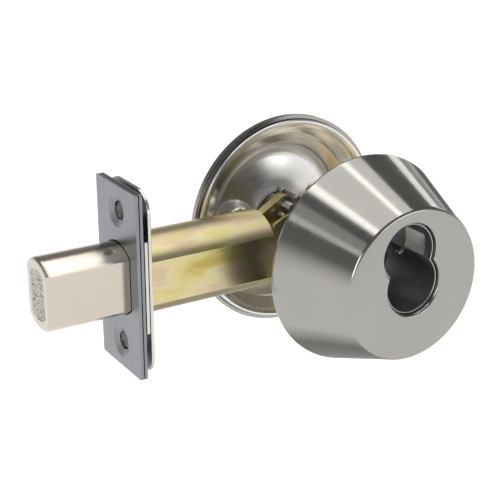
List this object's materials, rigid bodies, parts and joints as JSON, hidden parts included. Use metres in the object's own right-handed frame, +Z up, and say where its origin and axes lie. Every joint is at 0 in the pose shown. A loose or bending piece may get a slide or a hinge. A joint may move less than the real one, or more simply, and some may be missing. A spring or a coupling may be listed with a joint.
{
  "type": "deadbolt door lock",
  "caption": "Tubular deadbolt with a cone-shaped outside cylinder open for an interchangeable core, a flat-sided throw bolt and an inside thumbturn on a round rose.",
  "frame": {"origin": "where the cylinder's axis crosses the bolt's axis, the centre of the door's cross bore", "axes": "+Y along the cylinder's axis towards the inside of the door, -X towards the door's edge where the bolt comes out, +Z up"},
  "size_m": [0.1305, 0.0961, 0.0704],
  "materials": {
    "satin_steel": "satin stainless, brushed round the axis",
    "dark_steel": "dark grey cast and machined metal",
    "nickel": "satin nickel plate",
    "plate_steel": "satin bluish steel",
    "yellow_zinc": "yellow zinc chromate on steel",
    "hard_steel": "plain hardened steel",
    "rose_steel": "bright drawn steel",
    "dark_nylon": "black nylon"
  },
  "bodies": {
    "lock_body": {"cylinder_collar": "satin_steel", "core_housing": "dark_steel", "core_stop_pin": "nickel", "faceplate": "plate_steel", "backing_plate": "nickel", "bolt_bushing": "nickel", "latch_bracket": "nickel", "latch_tube": "yellow_zinc", "frame_outer": "yellow_zinc", "frame_inner": "yellow_zinc", "frame_rivet_front": "hard_steel", "frame_rivet_lower": "hard_steel", "frame_rivet_rear": "hard_steel", "rose_plate": "rose_steel", "rose_cover": "satin_steel", "turn_bushing": "dark_nylon", "mounting_screw_left": "hard_steel", "mounting_screw_right": "hard_steel"},
    "thumbturn_group": {"thumbturn": "satin_steel", "turn_spindle": "hard_steel", "turn_pin": "hard_steel", "push_nut": "yellow_zinc"},
    "crank_body": {"crank": "hard_steel"},
    "cylinder_drive": {"throw_member": "hard_steel", "throw_retainer": "hard_steel", "tailpiece": "hard_steel"},
    "bolt_group": {"bolt": "nickel", "anti_saw_pin": "hard_steel", "bolt_tail": "hard_steel", "tail_rivet": "hard_steel", "crank_pin": "hard_steel"}
  },
  "joints": [
    {"name": "thumbturn_turn", "type": "hinge", "parent": "lock_body", "child": "thumbturn_group", "pos_m": [0, 0.0318, 0], "axis": [0, 1, 0], "range_deg": [0, 90]},
    {"name": "crank_turn", "type": "hinge", "parent": "lock_body", "child": "crank_body", "pos_m": [0, 0, 0], "axis": [0, 1, 0], "range_deg": [0, 90]},
    {"name": "cylinder_turn", "type": "hinge", "parent": "lock_body", "child": "cylinder_drive", "pos_m": [0, -0.02, 0], "axis": [0, 1, 0], "range_deg": [0, 90]},
    {"name": "bolt_slide", "type": "slide", "parent": "lock_body", "child": "bolt_group", "axis": [1, 0, 0], "range_m": [0, 0.0254]}
  ],
  "couplings": [
    {"joint": "thumbturn_turn", "follows": "bolt_slide", "rad_per_m": 61.842},
    {"joint": "crank_turn", "follows": "bolt_slide", "rad_per_m": 61.842},
    {"joint": "cylinder_turn", "follows": "bolt_slide", "rad_per_m": 61.842}
  ]
}
